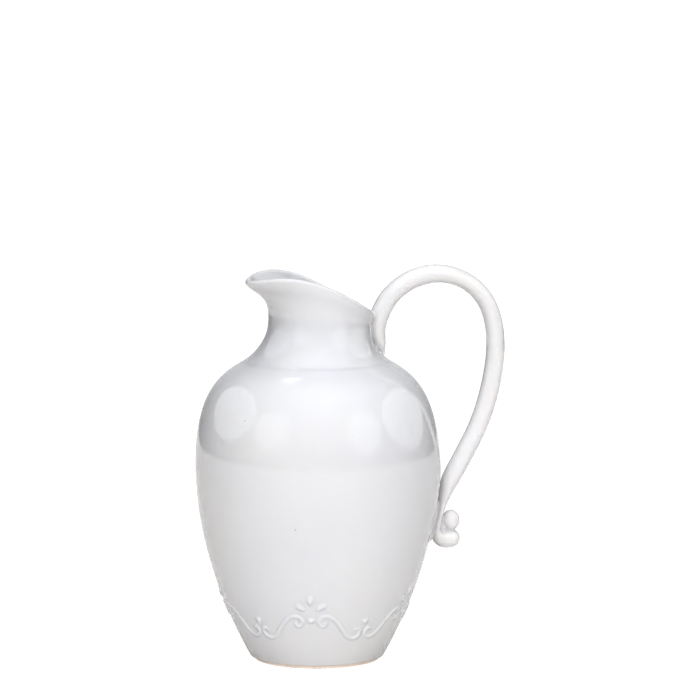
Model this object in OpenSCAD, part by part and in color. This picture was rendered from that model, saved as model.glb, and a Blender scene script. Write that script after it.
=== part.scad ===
// Tall serving pitcher in white glazed ceramic, with a garland of applied relief round the belly.
// Origin: centre of the foot on the table. +X points to the handle, -X to the spout, +Z up.

/* [Belly] */
// Largest radius of the belly
belly_r = 92.2; // [88:0.1:96]
// Height of the widest part
belly_z = 152; // [148:1:156]
// How far the lower curve draws in by table level
belly_taper = 42.7; // [40:0.1:45]
// Radius of the joint between belly and neck
join_r = 54.8; // [53:0.1:57]
// Height of the joint between belly and neck
join_z = 228; // [226:0.5:230]
// Thickness of the belly wall
wall = 5; // [4:0.5:6]

/* [Foot] */
// Height of the unglazed foot
foot_h = 2.5; // [2:0.5:3]
// Radius of the outer edge of the foot at the table
foot_r = 48.2; // [47:0.1:49]
// Inner radius of the foot
foot_bore_r = 42.5; // [41:0.5:44]

/* [Neck and spout] */
// Radius of the throat
throat_r = 39; // [38:0.1:40]
// Height of the throat below the spout
throat_z = 262; // [260:0.5:264]
// How far the throat drops at the back
throat_drop = 8; // [7:0.5:9]
// How far the neck stands towards the handle
neck_shift = 2.5; // [2:0.1:3]
// Radius of the mouth without the spout
mouth_r = 38.8; // [38:0.1:40]
// How far the spout reaches past the mouth
spout_reach = 16.4; // [14:0.1:18]
// Half angle over which the spout draws out
spout_spread = 42; // [38:1:46]
// Height of the highest point of the rim
crest_z = 294.8; // [293:0.1:297]
// Steepness of the rim's fall towards the handle
rim_fall = 0.8; // [0.76:0.01:0.84]
// Radius of the rounded lip, half the neck's wall
lip_r = 2.2; // [1.8:0.1:2.4]

/* [Garland] */
// Number of repeats round the belly
repeats = 5; // [3:1:5]
// Width of a scroll stroke
stroke_w = 2.8; // [2.2:0.1:3.2]
// Relief height of a scroll stroke
stroke_h = 1.2; // [0.8:0.1:1.5]
// Relief height of a petal
petal_h = 1.6; // [1.2:0.1:2]
// Radius of the small pearl under a palmette
pearl_r = 2.6; // [2.2:0.1:2.9]

/* [Hidden] */
BACK = 180; // angle from the spout's nose to the handle
REPEAT = 360 / repeats;
RING_R = 67.5; // belly radius along the middle of the garland

JOIN_SLOPE = [-0.81, 0.586]; // direction of the wall at the joint, inwards and up
JOIN_WALL = 8.2; // wall measured level at the joint
SHOULDER_PULL = 60.7; // how long the shoulder stays upright above the widest part
JOIN_PULL = 12; // how long the shoulder runs straight into the joint
FLOOR_Z = 8.5; // top of the inside floor
FLOOR_R = 34; // flat radius of the inside floor
FLOOR_CURVE_Z = 24; // height where the floor's curve meets the wall
FLOOR_PULL = 9; // how far the floor stays level past its flat radius
LOW_PULL = [4, 8]; // how the wall runs down into the floor's curve
FOOT_EDGE = 1.2; // rounding of the foot at the table
NOSE_POWER = 1.65; // how quickly the spout fades into the round mouth
CREST_X = -30.4; // place of the rim's highest point
CREST_SPREAD = 49; // roundness of the crest
NOSE_LEAN = 35; // how far the wall leans out at the spout's nose
NECK_PULL = 3; // how far the neck keeps the shoulder's slope
THROAT_PULL = 0.7; // share of the neck's height that comes upright to the throat
FLARE_PULL = [0.68, 0.34]; // how the wall above the throat stays upright, then flares to the lip
AROUND = 72; // points round the neck

// Centreline of the handle: x, z, half thickness, half width.
HANDLE_PATH = [
    [52.4, 233.4, 1, 1.6],
    [51.5, 235.8, 2.5, 2.8],
    [50.1, 239.4, 4.1, 3.9],
    [48.2, 244.4, 5.5, 4.9],
    [47, 251.5, 6.8, 6.1],
    [49.2, 261.3, 7.2, 7.1],
    [57.5, 275.5, 7.2, 7.2],
    [71, 286, 7.2, 7.2],
    [86, 291, 7.1, 7.1],
    [100, 291.2, 6.8, 6.9],
    [114, 286.8, 6.5, 6.8],
    [125.5, 278.7, 6.5, 6.8],
    [134.5, 266.5, 6.6, 6.9],
    [139.4, 251, 6.8, 7],
    [140.8, 234, 7, 7.1],
    [139.2, 216.7, 7.1, 7.2],
    [134.6, 195, 7.2, 7.2],
    [127.2, 174, 7.1, 7.2],
    [117.2, 154.2, 7.1, 7.2],
    [106.4, 135, 7, 7.2],
    [103.2, 128.5, 6.1, 7.1],
    [100.3, 120.5, 4.5, 6.9],
    [97.6, 111.3, 3, 6.6],
    [95.4, 101.5, 2.8, 6.2],
    [93.8, 95, 3.2, 6]
];
// Rolled end below the handle's tail, ring by ring: the outer edge [x, z], the inner
// edge [x, z] and the half width.
CURL_EDGES = [
    [90.69, 95.76, 96.91, 94.24, 6],
    [89, 91.4, 97.9, 93.6, 6.2],
    [91.4, 85.6, 99, 93.3, 6.5],
    [96.2, 80.8, 100.6, 93.2, 6.8],
    [101.6, 79.5, 103.2, 94, 7],
    [106, 79.9, 106.8, 94, 6.9],
    [109, 81.4, 109.5, 92.9, 6],
    [111.1, 83.8, 111.3, 90.7, 4.2],
    [112.2, 86.2, 112.2, 88.6, 2]
];
CURL_TOP = 93.2; // flat on the rolled end where the bud sits
CURL_FLAT_X = 100; // the flat lies past this
BUD_CENTRE = [106.2, 100.9];
BUD_R = 5.9; // half width of the bud
BUD_H = 8.4; // half height of the bud
BUD_TILT = -7;
// Thickness of the clay pad between belly and tail, by height.
TAIL_PAD = [[83, 1], [86, 6], [92, 4.8], [98, 4.8], [104, 5.2], [110, 5.4], [113, 4], [116, 0.8]];
TAIL_PAD_W = 5.5; // half width of that pad
PAD_CROWN = 0.75; // share of a pad's thickness lost at its sides
// Thickness of the slip between neck and handle root, by height.
ROOT_PAD = [[233, 0.3], [238, 1], [246, 1.2], [256, 1.2], [260, 0.3]];
ROOT_PAD_W = 5.5; // half width of that slip
FREE_Z = 263; // above this the handle stands clear of the neck

// Centreline of half a scroll: distance round the belly from the palmette, and height.
SCROLL = [
    [11.3, 38.3], [10.5, 36.4], [8.9, 35.9], [7, 37.2], [6, 39.6], [6.8, 42], [9, 43.7],
    [11.7, 44.2], [15, 43], [18.4, 40.3], [21.6, 36.8], [24.6, 32.6], [27.6, 28.6],
    [31, 25.9], [34.6, 25], [38, 26], [40, 28.4], [39.9, 31.1], [37.8, 32.7], [35.4, 31.9]
];
PETAL_L = 4.3; // half length of a petal
PETAL_W = 2.2; // half width of a petal
PETAL_POINT = 0.35; // how much a petal's lower end draws in
// Petals of a palmette: distance round the belly, height and tilt from upright.
PETALS = [[0, 57, 0], [7, 51.4, -53], [-7, 51.4, 53]];
PEARL_Z = 40.7; // height of the pearl under a palmette
DROP_Z = 38.4; // height of the drop between two scrolls
DROP_L = 3; // half length of the drop
DROP_W = 2.4; // half width of the drop
DROP_POINT = 0.2; // how much its lower end draws in
SCROLL_END = 0.45; // share of the stroke left at a scroll's ends

PALMETTES = [for (i = [0 : repeats - 1]) (i + 0.5) * REPEAT];
GARLAND = ["palmette", "pearl", "scroll_left", "scroll_right", "drop"];

// ---- curves ----

function bezier(p, t) =
    pow(1 - t, 3) * p[0] + 3 * t * pow(1 - t, 2) * p[1] + 3 * t * t * (1 - t) * p[2] + pow(t, 3) * p[3];

function blend(a, b, c, d, t) =
    b + 0.5 * t * (c - a + t * (2 * a - 5 * b + 4 * c - d + t * (3 * (b - c) + d - a)));

// Point at s on a smooth curve through the points p, where s counts the points.
function along(p, s) =
    let (
        last = len(p) - 1,
        i = min(floor(s), last - 1),
        before = i > 0 ? p[i - 1] : 2 * p[0] - p[1],
        after = i + 2 <= last ? p[i + 2] : 2 * p[last] - p[last - 1]
    )
    blend(before, p[i], p[i + 1], after, s - i);

function unit(v) = v / norm(v);

// ---- belly ----

function belly_radius(z) = belly_r - belly_taper * pow((belly_z - z) / belly_z, 2);
function belly_slope(z) = 2 * belly_taper * (belly_z - z) / pow(belly_z, 2);

SHOULDER = [
    [belly_r, belly_z],
    [belly_r, belly_z + SHOULDER_PULL],
    [join_r, join_z] - JOIN_PULL * JOIN_SLOPE,
    [join_r, join_z]
];

function belly_outside(low, steps) = concat(
    [for (i = [0 : steps]) let (z = low + (belly_z - low) * i / steps) [belly_radius(z), z]],
    [for (i = [1 : steps]) bezier(SHOULDER, i / steps)]
);

// The same curve moved in by the wall.
function inset(p, distance) = [
    for (i = [0 : len(p) - 1])
    let (
        tangent = unit(p[min(i + 1, len(p) - 1)] - p[max(i - 1, 0)])
    )
    p[i] + distance * [-tangent[1], tangent[0]]
];

module belly() {
    outside = belly_outside(foot_h, 18);
    inside = inset(belly_outside(FLOOR_CURVE_Z, 12), wall);
    low = inside[0];
    floor_curve = [[FLOOR_R, FLOOR_Z], [FLOOR_R + FLOOR_PULL, FLOOR_Z], low - LOW_PULL, low];
    floor_points = [for (i = [0 : 5]) bezier(floor_curve, i / 6)];
    room = concat(
        [[0, join_z], [0, FLOOR_Z]],
        floor_points,
        inside,
        [[join_r - JOIN_WALL, join_z]]
    );
    color("whitesmoke")
    difference() {
        rotate_extrude($fn = 96) polygon(concat([[0, join_z], [0, foot_h]], outside));
        rotate_extrude($fn = 96) polygon(room);
    }
}

// Quarter round at the table: x is its centre and start the angle that it begins at.
function foot_corner(x, start) = [
    for (turn = [0 : 30 : 90])
    [x + FOOT_EDGE * cos(start + turn), FOOT_EDGE + FOOT_EDGE * sin(start + turn)]
];

module foot_ring() {
    color("peachpuff")
    rotate_extrude($fn = 96)
    polygon(concat(
        [[foot_bore_r, foot_h]],
        foot_corner(foot_bore_r + FOOT_EDGE, 180),
        foot_corner(foot_r - FOOT_EDGE, 270),
        [[belly_radius(foot_h), foot_h]]
    ));
}

// ---- neck ----

function nose(a) = exp(-pow(abs(a) / spout_spread, NOSE_POWER));
function rim_reach(a) = mouth_r + spout_reach * nose(a);
function rim_height(a) =
    let (x = neck_shift - rim_reach(a) * cos(a) - CREST_X)
    crest_z - rim_fall * (sqrt(x * x + CREST_SPREAD * CREST_SPREAD) - CREST_SPREAD);
function lip_centre(a) = [rim_reach(a), rim_height(a) - lip_r];
function lip_lean(a) = 90 - NOSE_LEAN * nose(a);
function throat(a) = [throat_r, throat_z - throat_drop * pow((1 - cos(a)) / 2, 3)];

// Wall curves at angle a from the nose, as radius and height: side is 1 outside and -1 inside.
function lower_curve(a, side) =
    let (
        start = [join_r - (1 - side) / 2 * JOIN_WALL, join_z],
        stop = throat(a) - [(1 - side) * lip_r, 0]
    )
    [start, start + NECK_PULL * JOIN_SLOPE, stop - [0, THROAT_PULL * (stop[1] - join_z)], stop];
function upper_curve(a, side) =
    let (
        lean = lip_lean(a),
        start = throat(a) - [(1 - side) * lip_r, 0],
        stop = lip_centre(a) + side * lip_r * [sin(lean), -cos(lean)],
        rise = stop[1] - start[1],
        flare = FLARE_PULL[1] * rise * [cos(lean), sin(lean)]
    )
    [start, start + [0, FLARE_PULL[0] * rise], stop - flare, stop];

function neck_profile(a, side, lower, upper) = concat(
    [for (i = [0 : lower - 1]) bezier(lower_curve(a, side), i / lower)],
    [for (i = [0 : upper]) bezier(upper_curve(a, side), i / upper)]
);
function lip_profile(a, steps) =
    let (lean = lip_lean(a))
    [for (i = [1 : steps - 1])
        let (turn = lean - 90 + 180 * i / steps)
        lip_centre(a) + lip_r * [cos(turn), sin(turn)]];
function reversed(p) = [for (i = [len(p) - 1 : -1 : 0]) p[i]];

// The neck leans towards the handle between the joint and the throat.
function lean_over(z) =
    let (t = min(1, max(0, (z - join_z) / (throat_z - throat_drop - join_z))))
    neck_shift * t * t * (3 - 2 * t);

module neck_and_spout() {
    profiles = [
        for (i = [0 : AROUND - 1])
        let (a = 360 * i / AROUND - 180)
        concat(
            neck_profile(a, 1, 7, 9),
            lip_profile(a, 5),
            reversed(neck_profile(a, -1, 5, 7))
        )
    ];
    rings = len(profiles[0]);
    points = [
        for (j = [0 : rings - 1])
        for (i = [0 : AROUND - 1])
        let (
            a = 360 * i / AROUND - 180,
            p = profiles[i][j]
        )
        [lean_over(p[1]) - p[0] * cos(a), p[0] * sin(a), p[1]]
    ];
    color("whitesmoke")
    polyhedron(points, wrapped_faces(rings, AROUND));
}

// Triangles over a grid of rings that closes on itself both ways.
function wrapped_faces(rings, sides) = [
    for (j = [0 : rings - 1])
    for (i = [0 : sides - 1])
    let (
        a = j * sides + i,
        b = j * sides + (i + 1) % sides,
        c = ((j + 1) % rings) * sides + (i + 1) % sides,
        d = ((j + 1) % rings) * sides + i
    )
    each [[a, c, b], [a, d, c]]
];

// Triangles over a tube of rings with a fan at each end.
function tube_faces(rings, sides) = concat(
    [for (j = [0 : rings - 2])
        for (i = [0 : sides - 1])
        let (
            a = j * sides + i,
            b = j * sides + (i + 1) % sides
        )
        each [[a, b, b + sides], [a, b + sides, a + sides]]],
    [for (i = [1 : sides - 2]) [0, i + 1, i]],
    [for (i = [1 : sides - 2]) (rings - 1) * sides * [1, 1, 1] + [0, i, i + 1]]
);

// ---- handle ----

BACK_PROFILE = neck_profile(BACK, 1, 12, 8);
BACK_RADIUS = [for (p = BACK_PROFILE) [p[1], p[0]]];

// A point that would lie in the wall or its pad is moved out to the pad's surface.
function clear_of_wall(p) =
    let (
        on_neck = p[2] > join_z,
        middle = on_neck ? lean_over(p[2]) : 0,
        surface = on_neck
            ? lookup(p[2], BACK_RADIUS) + lookup(p[2], ROOT_PAD)
            : belly_radius(p[2]) + lookup(p[2], TAIL_PAD),
        from_axis = norm([p[0] - middle, p[1]])
    )
    p[2] > FREE_Z || from_axis >= surface
        ? p
        : [
            middle + (p[0] - middle) * surface / from_axis,
            p[1] * surface / from_axis,
            p[2]
        ];

// Tube along a path in the plane of the handle, oval in section.
function swept(path, rings, sides) = [
    for (j = [0 : rings - 1])
    let (
        s = (len(path) - 1) * j / (rings - 1),
        here = along(path, s),
        ahead = along(path, min(s + 0.01, len(path) - 1)),
        behind = along(path, max(s - 0.01, 0)),
        way = unit([ahead[0] - behind[0], ahead[1] - behind[1]])
    )
    for (i = [0 : sides - 1])
    let (
        turn = 360 * i / sides,
        side = here[2] * cos(turn)
    )
    [here[0] + side * way[1], here[3] * sin(turn), here[1] - side * way[0]]
];

module handle() {
    rings = 84;
    sides = 18;
    raw = swept(HANDLE_PATH, rings, sides);
    color("whitesmoke")
    polyhedron([for (p = raw) clear_of_wall(p)], tube_faces(rings, sides));
}

// Oval rings strung between an outer and an inner edge.
function edged(edges, rings, sides) = [
    for (j = [0 : rings - 1])
    let (
        here = along(edges, (len(edges) - 1) * j / (rings - 1)),
        middle = [here[0] + here[2], here[1] + here[3]] / 2,
        half = [here[0] - here[2], here[1] - here[3]] / 2
    )
    for (i = [0 : sides - 1])
    let (
        turn = 360 * i / sides,
        side = middle + cos(turn) * half
    )
    [side[0], here[4] * sin(turn), side[1]]
];

module curl() {
    rings = 26;
    sides = 18;
    raw = [for (p = edged(CURL_EDGES, rings, sides)) clear_of_wall(p)];
    color("whitesmoke")
    polyhedron(
        [for (p = raw) [p[0], p[1], p[0] > CURL_FLAT_X ? min(p[2], CURL_TOP) : p[2]]],
        tube_faces(rings, sides)
    );
}

module curl_bud() {
    half = [for (i = [-8 : 8]) let (t = 90 * i / 8) [BUD_R * cos(t), BUD_H * sin(t)]];
    color("whitesmoke")
    difference() {
        translate([BUD_CENTRE[0], 0, BUD_CENTRE[1]])
        rotate([0, BUD_TILT, 0])
        rotate_extrude($fn = 48)
        polygon(half);
        translate([BUD_CENTRE[0], 0, CURL_TOP - BUD_H]) cylinder(h = BUD_H, r = 2 * BUD_R, $fn = 48);
    }
}

// A pad of clay on a wall at the back: thick gives its thickness by height, radius the wall's.
module pad(thick, half_w, walls, middles) {
    rows = len(walls);
    cols = 7;
    points = [
        for (j = [0 : rows - 1])
        let (
            z = walls[j][0],
            r = walls[j][1],
            full = lookup(z, thick)
        )
        for (side = [0, 1])
        for (i = [0 : cols - 1])
        let (
            across = 2 * i / (cols - 1) - 1,
            radius = r + (side == 0 ? 0 : full * (1 - PAD_CROWN * pow(across, 4))),
            turn = asin(half_w / r) * across * (side == 0 ? 1 : -1)
        )
        [middles[j] + radius * cos(turn), radius * sin(turn), z]
    ];
    polyhedron(points, tube_faces(rows, 2 * cols));
}

module root_slip() {
    heights = [for (z = [ROOT_PAD[0][0] : 3 : ROOT_PAD[4][0]]) z];
    color("white")
    pad(
        ROOT_PAD,
        ROOT_PAD_W,
        [for (z = heights) [z, lookup(z, BACK_RADIUS)]],
        [for (z = heights) lean_over(z)]
    );
}

module tail_pad() {
    heights = [for (z = [TAIL_PAD[0][0] : 3 : TAIL_PAD[7][0]]) z];
    color("white")
    pad(
        TAIL_PAD,
        TAIL_PAD_W,
        [for (z = heights) [z, belly_radius(z)]],
        [for (z = heights) 0]
    );
}

// ---- garland ----

// Place on the belly: u is the distance round it, z the height and h the relief.
function on_belly(u, z, h) =
    let (
        turn = u / RING_R * 180 / PI,
        out = unit([1, -belly_slope(z)]),
        r = belly_radius(z) + h * out[0]
    )
    [r * cos(turn), r * sin(turn), z + h * out[1]];

module scroll(side) {
    rings = 58;
    arch = [for (i = [0 : 5]) 180 * i / 5];
    sides = len(arch);
    last = len(SCROLL) - 1;
    points = [
        for (j = [0 : rings - 1])
        let (
            s = last * j / (rings - 1),
            here = along(SCROLL, s),
            ahead = along(SCROLL, min(s + 0.02, last)),
            behind = along(SCROLL, max(s - 0.02, 0)),
            way = unit(ahead - behind),
            thin = min(1, SCROLL_END + (1 - SCROLL_END) * min(s, last - s))
        )
        for (turn = arch)
        let (
            off = thin * stroke_w / 2 * cos(turn),
            h = thin * stroke_h * sin(turn)
        )
        on_belly(side * (here[0] + off * way[1]), here[1] - off * way[0], h)
    ];
    faces = tube_faces(rings, sides);
    color("whitesmoke")
    polyhedron(points, side > 0 ? faces : [for (f = faces) reversed(f)]);
}

// Rounded leaf or pearl lying on the belly: point draws its lower end in.
module bump(u, z, half_l, half_w, tilt, height, point) {
    sides = 12;
    levels = [1, 0.86, 0.62, 0.34];
    count = len(levels);
    function outline(scale, lift) = [
        for (i = [0 : sides - 1])
        let (
            t = 360 * i / sides,
            y = half_l * cos(t) * scale,
            x = half_w * sin(t) * scale * (1 + point * cos(t))
        )
        on_belly(u + x * cos(tilt) - y * sin(tilt), z + x * sin(tilt) + y * cos(tilt), lift)
    ];
    points = concat(
        [on_belly(u, z, 0)],
        [for (k = [1 : count - 1]) each outline(levels[count - k], 0)],
        [for (k = [0 : count - 1]) each outline(levels[k], height * sqrt(1 - levels[k] * levels[k]))],
        [on_belly(u, z, height)]
    );
    rings = 2 * count - 1;
    faces = concat(
        [for (i = [0 : sides - 1]) [0, 1 + (i + 1) % sides, 1 + i]],
        [for (k = [0 : rings - 2])
            for (i = [0 : sides - 1])
            let (
                a = 1 + k * sides + i,
                b = 1 + k * sides + (i + 1) % sides
            )
            each [[a, b, b + sides], [a, b + sides, a + sides]]],
        [for (i = [0 : sides - 1])
            let (top = 1 + (rings - 1) * sides)
            [top + i, top + (i + 1) % sides, top + sides]]
    );
    polyhedron(points, faces);
}

module palmette() {
    color("whitesmoke")
    for (p = PETALS) bump(p[0], p[1], PETAL_L, PETAL_W, p[2], petal_h, PETAL_POINT);
}

module pearl() {
    color("whitesmoke") bump(0, PEARL_Z, pearl_r, pearl_r, 0, petal_h, 0);
}

module drop() {
    color("whitesmoke") bump(0, DROP_Z, DROP_L, DROP_W, 0, petal_h, DROP_POINT);
}

belly();
foot_ring();
neck_and_spout();
handle();
root_slip();
tail_pad();
curl();
curl_bud();
for (i = [1 : repeats]) {
    rotate(PALMETTES[i - 1]) palmette();
    rotate(PALMETTES[i - 1]) pearl();
    rotate(PALMETTES[i - 1]) scroll(-1);
    rotate(PALMETTES[i - 1]) scroll(1);
    rotate(PALMETTES[i - 1] + REPEAT / 2) drop();
}
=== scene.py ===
import math

import bpy
import numpy as np
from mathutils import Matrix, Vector


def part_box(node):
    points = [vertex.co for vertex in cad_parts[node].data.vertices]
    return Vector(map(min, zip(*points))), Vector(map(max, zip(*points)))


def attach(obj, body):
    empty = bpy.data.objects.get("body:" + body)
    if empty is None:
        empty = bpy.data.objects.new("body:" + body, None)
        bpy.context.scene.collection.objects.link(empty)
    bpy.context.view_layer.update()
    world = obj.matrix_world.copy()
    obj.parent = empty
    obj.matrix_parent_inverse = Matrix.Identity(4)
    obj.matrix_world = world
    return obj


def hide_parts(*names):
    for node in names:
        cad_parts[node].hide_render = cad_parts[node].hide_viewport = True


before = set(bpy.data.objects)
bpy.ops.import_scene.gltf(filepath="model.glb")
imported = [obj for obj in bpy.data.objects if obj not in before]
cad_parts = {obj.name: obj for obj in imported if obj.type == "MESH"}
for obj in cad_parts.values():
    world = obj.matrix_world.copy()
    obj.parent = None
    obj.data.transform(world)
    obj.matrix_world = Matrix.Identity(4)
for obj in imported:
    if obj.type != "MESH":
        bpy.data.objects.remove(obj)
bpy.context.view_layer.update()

# Shapes are worked out in millimetres, in the frame of the CAD, and stored in metres.
MM = 0.001
BODY = "root"
REPEATS = 5
AROUND = 320  # points round the belly and neck

# ---- sizes shared with the CAD part ----
belly_low, belly_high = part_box("belly")
BELLY_R = belly_high.x / MM
BELLY_Z = 152.0
BELLY_TAPER = 42.7
FOOT_H = belly_low.z / MM
JOIN_R, JOIN_Z = 54.8, belly_high.z / MM
JOIN_SLOPE = np.array([-0.81, 0.586])
JOIN_WALL = 8.2
SHOULDER_PULL, JOIN_PULL = 60.7, 12.0
WALL = 5.0
FLOOR_Z, FLOOR_R, FLOOR_CURVE_Z = 8.5, 34.0, 24.0
FLOOR_PULL, LOW_PULL = 9.0, np.array([4.0, 8.0])
FOOT_R, FOOT_BORE_R, FOOT_EDGE = 48.2, 42.5, 1.2

THROAT_R, THROAT_Z, THROAT_DROP = 39.0, 262.0, 8.0
NECK_SHIFT = 2.5
MOUTH_R, SPOUT_REACH, SPOUT_SPREAD, NOSE_POWER = 38.8, 16.4, 42.0, 1.65
CREST_X, CREST_Z, CREST_SPREAD, RIM_FALL = -30.4, 294.8, 49.0, 0.8
LIP_R, NOSE_LEAN = 2.2, 35.0
NECK_PULL, THROAT_PULL, FLARE_PULL = 3.0, 0.7, (0.68, 0.34)

# Centreline of the handle, its tail and the rolled end: x, z, half thickness, half width.
HANDLE = np.array([
    [52.8, 232.2, 0.3, 0.6], [52.4, 233.4, 1, 1.6], [51.5, 235.8, 2.5, 2.8],
    [50.1, 239.4, 4.1, 3.9], [48.2, 244.4, 5.5, 4.9], [47, 251.5, 6.8, 6.1],
    [49.2, 261.3, 7.2, 7.1], [57.5, 275.5, 7.2, 7.2], [71, 286, 7.2, 7.2],
    [86, 291, 7.1, 7.1], [100, 291.2, 6.8, 6.9], [114, 286.8, 6.5, 6.8],
    [125.5, 278.7, 6.5, 6.8], [134.5, 266.5, 6.6, 6.9], [139.4, 251, 6.8, 7],
    [140.8, 234, 7, 7.1], [139.2, 216.7, 7.1, 7.2], [134.6, 195, 7.2, 7.2],
    [127.2, 174, 7.1, 7.2], [117.2, 154.2, 7.1, 7.2], [106.4, 135, 7, 7.2],
    [103.2, 128.5, 6.1, 7.1], [100.3, 120.5, 4.5, 6.9], [97.6, 111.3, 3, 6.6],
    [95.4, 101.5, 2.8, 6.2], [93.8, 95, 3.2, 6],
])
CURL = np.array([
    [94.6, 90.6, 4.6, 6.3], [97.2, 87.6, 6.4, 6.7], [101.2, 86.7, 7.2, 7],
    [105.6, 87.1, 6.9, 6.9],
])
BUD_CENTRE, BUD_R, BUD_H = np.array([105.7, 101.2]), 6.6, 7.8
BUD_TILT = math.radians(7)
# Clay in the valley between tail, roll and bud, and the pad behind the tail, in the same form.
WEB = np.array([
    [99.6, 91, 3.2, 3.4], [99.9, 94.5, 2.3, 2.4], [99.6, 98.5, 1.6, 1.8], [99.3, 102, 1.2, 1.4],
])
PAD = np.array([
    [86, 84.5, 1.6, 3.2], [87.5, 88, 3.2, 4.2], [88, 92, 3, 4.6], [89, 97, 2.6, 4.8],
    [90.9, 103, 2.7, 4.8], [92.3, 110, 2.5, 4.8], [93.3, 115, 2.2, 4.4],
])

# How wide the clay is smeared into the angle between two shapes.
SLIP_REACH, SLIP_EXTRA, SLIP_Z, SLIP_FADE = 3.2, 4, 242, 8  # wider round the root's lower tip
PAD_WALL_REACH, PAD_TAIL_REACH, WEB_REACH, BUD_REACH = 3.4, 2.4, 2.6, 2.2
# How far such clay spreads from the shape it belongs to, and how deep it lies under its neighbours.
SLIP_SPREAD, PAD_SPREAD, WEB_SPREAD, BUD_SPREAD = 0.85, 2.6, 2.6, 2.8
SEAM_DEPTH = 0.9
SINK = 0.006  # how far a relief's or fillet's edge dips below the surface it lies on
NET_STEP = 0.42

# ---- garland: distances round the belly from the palmette, and heights ----
RING_R = 67.5
STROKE_HALF, STROKE_H, STROKE_END_HALF, STROKE_END_H = 2.31, 0.8, 0.72, 0.75
STROKE_STEP, STROKE_TAPER, STROKE_START = 0.15, 5, 0.35
SCROLL = np.array([
    [11.3, 38.3], [10.5, 36.4], [8.9, 35.9], [7, 37.2], [6, 39.6], [6.8, 42], [9, 43.7],
    [11.7, 44.2], [15, 43], [18.4, 40.3], [21.6, 36.8], [24.6, 32.6], [27.6, 28.6],
    [31, 25.9], [34.6, 25], [38, 26], [40, 28.4], [39.9, 31.1], [37.8, 32.7], [35.4, 31.9],
])
PETALS = [(0, 57, 0), (7, 51.4, -53), (-7, 51.4, 53)]  # place, height, tilt
PETAL_H, PETAL_L, PETAL_W, PETAL_POINT = 1.1, 4.3, 2.2, 0.35
PEARL_Z, PEARL_R = 40.7, 2.6
DROP_Z, DROP_L, DROP_W, DROP_POINT = 38.4, 3.0, 2.4, 0.2
SOFT_W, SOFT_L = 1.4, 1.2  # how much wider and longer a petal is with its soft edge
STROKE_POWER, BUMP_POWER = 2.0, 1.7
RELIEF_STEP, RELIEF_DEPTH, SKIRT = 0.25, 0.7, 0.2

# ---- departures of the hand-finished clay from the exact form ----
BULGE, BULGE_Z, BULGE_SPREAD = 2.4, 135.0, 32.0  # the belly is fuller on the handle's side
WAVE, WAVE_MARGIN, WAVE_FADE = 0.05, 4, 25
WAVES = ((1, 3, 0.045, 0.7), (0.7, 5, -0.071, 2.1), (0.5, 2, 0.11, 4))  # size, round, up, start
BEAD, BEAD_H = 0.3, 0.9  # the glaze ends in a small rounded bead just above the foot
FOOT_INSET, FOOT_FADE_R, FOOT_FADE = 0.35, 44.5, 3
WANDER = ((0.10, 7, 1), (0.07, 17, 2.4), (0.04, 41, 0))  # size, round, start
NICKS, NICK_DEPTH, NICK_W = (-1.95, -1.62, -1.05, 0.4, 1.7, 2.6), 0.5, 0.9


# ---- curves ----

def bezier(points, t):
    """Cubic curve at the values t; each control point may be an array of points."""
    p = [np.asarray(q, float) for q in points]
    t = np.asarray(t, float).reshape((-1,) + (1,) * p[0].ndim)
    return ((1 - t) ** 3 * p[0] + 3 * t * (1 - t) ** 2 * p[1]
            + 3 * t * t * (1 - t) * p[2] + t ** 3 * p[3])


def along(points, s):
    """Smooth curve through the points, where s counts the points."""
    p = np.vstack([2 * points[0] - points[1], points, 2 * points[-1] - points[-2]])
    i = np.clip(np.floor(s).astype(int), 0, len(points) - 2)
    t = (s - i)[:, None]
    a, b, c, d = p[i], p[i + 1], p[i + 2], p[i + 3]
    return b + 0.5 * t * (c - a + t * (2 * a - 5 * b + 4 * c - d + t * (3 * (b - c) + d - a)))


def spaced(points, step):
    """Points on the smooth curve, evenly spaced by its first two columns."""
    dense = along(points, np.linspace(0, len(points) - 1, 60 * len(points)))
    travelled = np.concatenate([[0], np.cumsum(np.hypot(*np.diff(dense[:, :2], axis=0).T))])
    even = np.linspace(0, travelled[-1], int(travelled[-1] / step) + 1)
    return np.stack([np.interp(even, travelled, column) for column in dense.T], 1)


def softened(points, reach):
    """The same row of points with its curvature evened out over reach points; the ends stay."""
    pad = 3 * reach
    before = 2 * points[0] - points[pad:0:-1]
    after = 2 * points[-1] - points[-2:-pad - 2:-1]
    whole = np.vstack([before, points, after])
    weights = np.exp(-0.5 * (np.arange(-pad, pad + 1) / reach) ** 2)
    weights /= weights.sum()
    return np.stack([np.convolve(column, weights, "valid") for column in whole.T], 1)


def smooth(t):
    """Soft step from 0 to 1."""
    t = np.clip(t, 0, 1)
    return t * t * (3 - 2 * t)


# ---- the vessel's walls ----

SHOULDER = bezier(
    [[BELLY_R, BELLY_Z], [BELLY_R, BELLY_Z + SHOULDER_PULL],
     np.array([JOIN_R, JOIN_Z]) - JOIN_PULL * JOIN_SLOPE, [JOIN_R, JOIN_Z]],
    np.linspace(0, 1, 4001))


def round_radius(z):
    """Radius of the true round belly."""
    z = np.asarray(z, float)
    lower = BELLY_R - BELLY_TAPER * ((BELLY_Z - z) / BELLY_Z) ** 2
    return np.where(z <= BELLY_Z, lower, np.interp(z, SHOULDER[:, 1], SHOULDER[:, 0]))


def uneven(turn, z):
    """How far the clay stands off the true round, at the angle turn from the handle."""
    fuller = BULGE * np.exp(-((z - BULGE_Z) / BULGE_SPREAD) ** 2) * np.clip(np.cos(turn), 0, 1) ** 4
    fade = (smooth((z - FOOT_H - WAVE_MARGIN) / WAVE_FADE)
            * smooth((JOIN_Z - WAVE_MARGIN - z) / WAVE_FADE))
    wave = sum(size * np.sin(n * turn + up * z + start) for size, n, up, start in WAVES)
    return fuller + WAVE * fade * wave


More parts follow.
